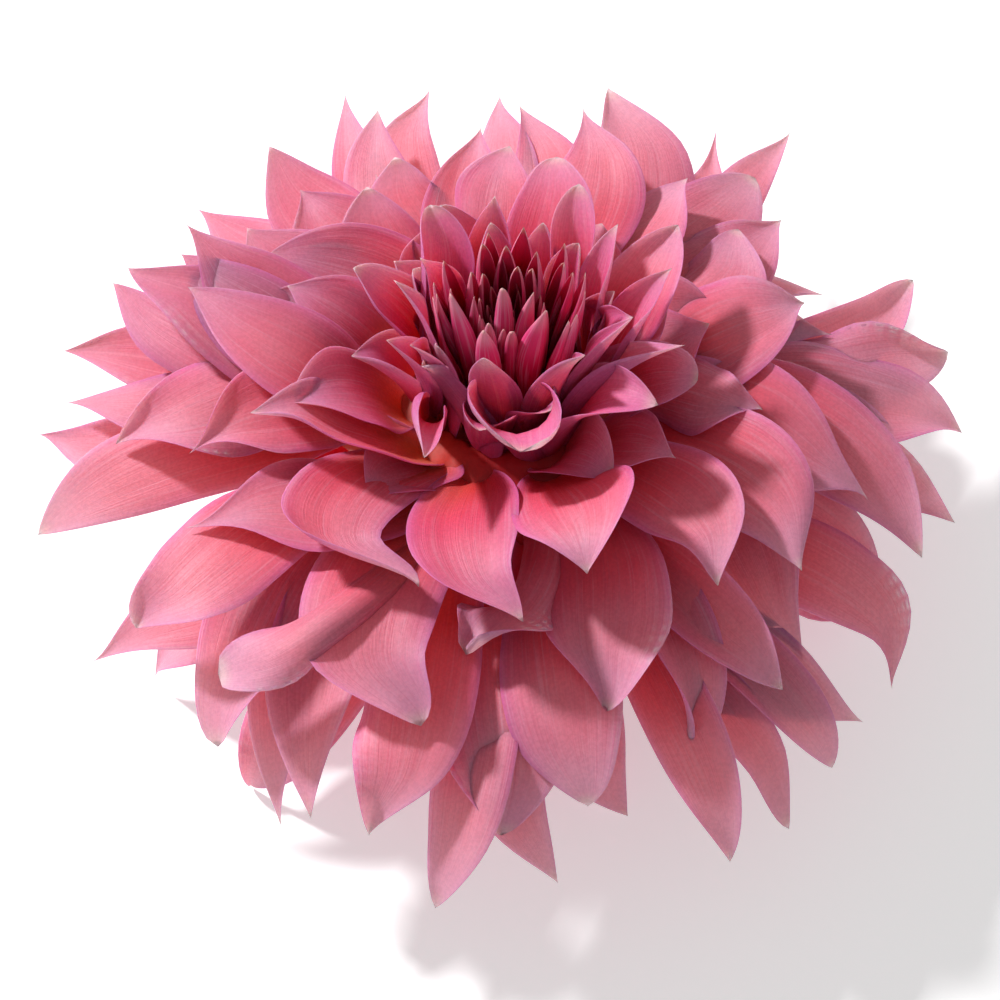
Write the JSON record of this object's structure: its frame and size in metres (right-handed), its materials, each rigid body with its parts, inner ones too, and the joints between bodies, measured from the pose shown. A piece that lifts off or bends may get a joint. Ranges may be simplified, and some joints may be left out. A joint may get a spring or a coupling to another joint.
{
  "type": "cut dahlia bloom",
  "caption": "Picked decorative dahlia head with salmon pink ray petals, a magenta heart of shut florets, a green calyx and a short cut stem; lies face up.",
  "frame": {"origin": "centre of the stem's cut end, on the surface that the bloom rests on", "axes": "+Z along the flower's axis out of its heart, -Y towards the side seen in the picture, +X to the right in it"},
  "size_m": [0.2203, 0.213, 0.1063],
  "materials": {
    "salmon_pink_petal": "soft satin petal, coral at the base and pale pink at the tip",
    "magenta_heart": "soft satin deep magenta",
    "green_calyx": "smooth matte green",
    "green_stem": "matte green"
  },
  "bodies": {
    "root": {"ray_petals": "salmon_pink_petal", "heart_florets": "magenta_heart", "calyx": "green_calyx", "stem": "green_stem"}
  },
  "joints": []
}
